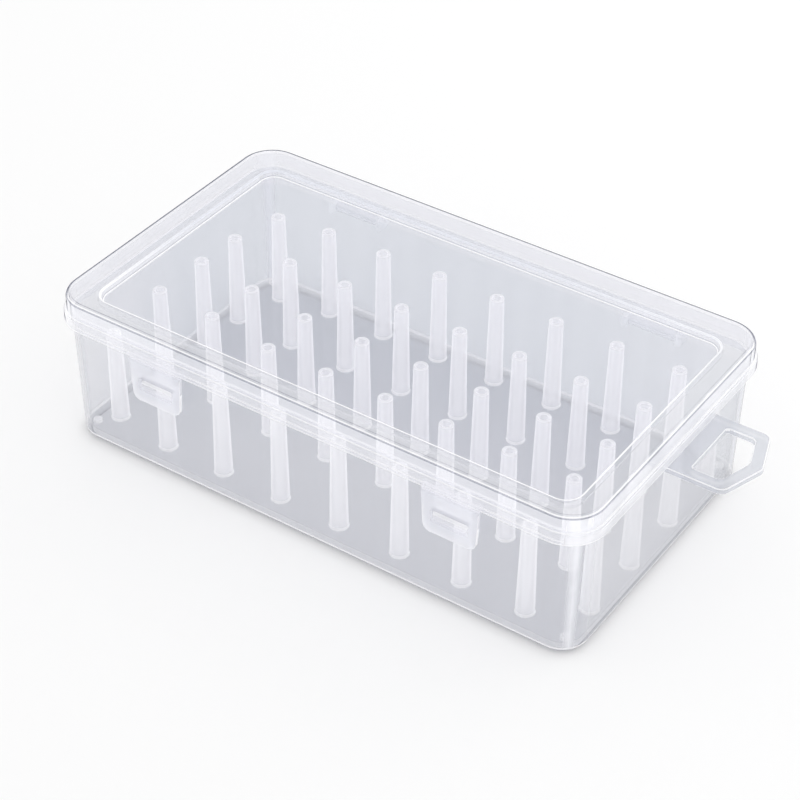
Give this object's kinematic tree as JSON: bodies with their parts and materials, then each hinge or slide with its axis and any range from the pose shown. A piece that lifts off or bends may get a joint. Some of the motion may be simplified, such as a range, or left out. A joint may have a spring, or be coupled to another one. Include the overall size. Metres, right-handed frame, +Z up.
{
  "type": "thread spool storage box",
  "caption": "Clear plastic box with upright thread pegs, a recessed hinged lid, front snap latches and a flat loop handle on one end.",
  "frame": {"origin": "centre of the flat underside of the box, on the surface it stands on", "axes": "+X along the length towards the handle, +Y from the latches towards the hinges, +Z up"},
  "size_m": [0.2644, 0.1408, 0.066],
  "materials": {
    "clear_base": "clear natural polypropylene, glossy",
    "clear_pegs": "milky natural polypropylene, glossy",
    "clear_lid": "clear natural polypropylene, glossy",
    "clear_latch": "clear natural polypropylene, glossy"
  },
  "bodies": {
    "base": {"base_tray": "clear_base", "base_rim": "clear_base", "pegs_row_1": "clear_pegs", "pegs_row_2": "clear_pegs", "pegs_row_3": "clear_pegs", "pegs_row_4": "clear_pegs", "pegs_row_5": "clear_pegs", "pegs_end_column": "clear_pegs", "corner_nubs": "clear_base", "carry_handle": "clear_base", "catch_left": "clear_base", "catch_right": "clear_base", "hinge_lugs_left": "clear_base", "hinge_lugs_right": "clear_base", "hinge_pin_left": "clear_base", "hinge_pin_right": "clear_base"},
    "lid": {"lid_panel": "clear_lid", "lid_border": "clear_lid", "lid_skirt": "clear_lid", "latch_mount_left": "clear_lid", "latch_mount_right": "clear_lid", "hinge_arm_left": "clear_lid", "hinge_arm_right": "clear_lid"},
    "latch_left": {"latch_tab_left": "clear_latch"},
    "latch_right": {"latch_tab_right": "clear_latch"}
  },
  "joints": [
    {"name": "lid_hinge", "type": "hinge", "parent": "base", "child": "lid", "pos_m": [0, 0.06822, 0.048], "axis": [-1, 0, 0], "range_deg": [0, 180]},
    {"name": "latch_hinge_left", "type": "hinge", "parent": "lid", "child": "latch_left", "pos_m": [-0.0655, -0.0692, 0.054], "axis": [-1, 0, 0], "range_deg": [0, 90]},
    {"name": "latch_hinge_right", "type": "hinge", "parent": "lid", "child": "latch_right", "pos_m": [0.0655, -0.0692, 0.054], "axis": [-1, 0, 0], "range_deg": [0, 90]}
  ]
}
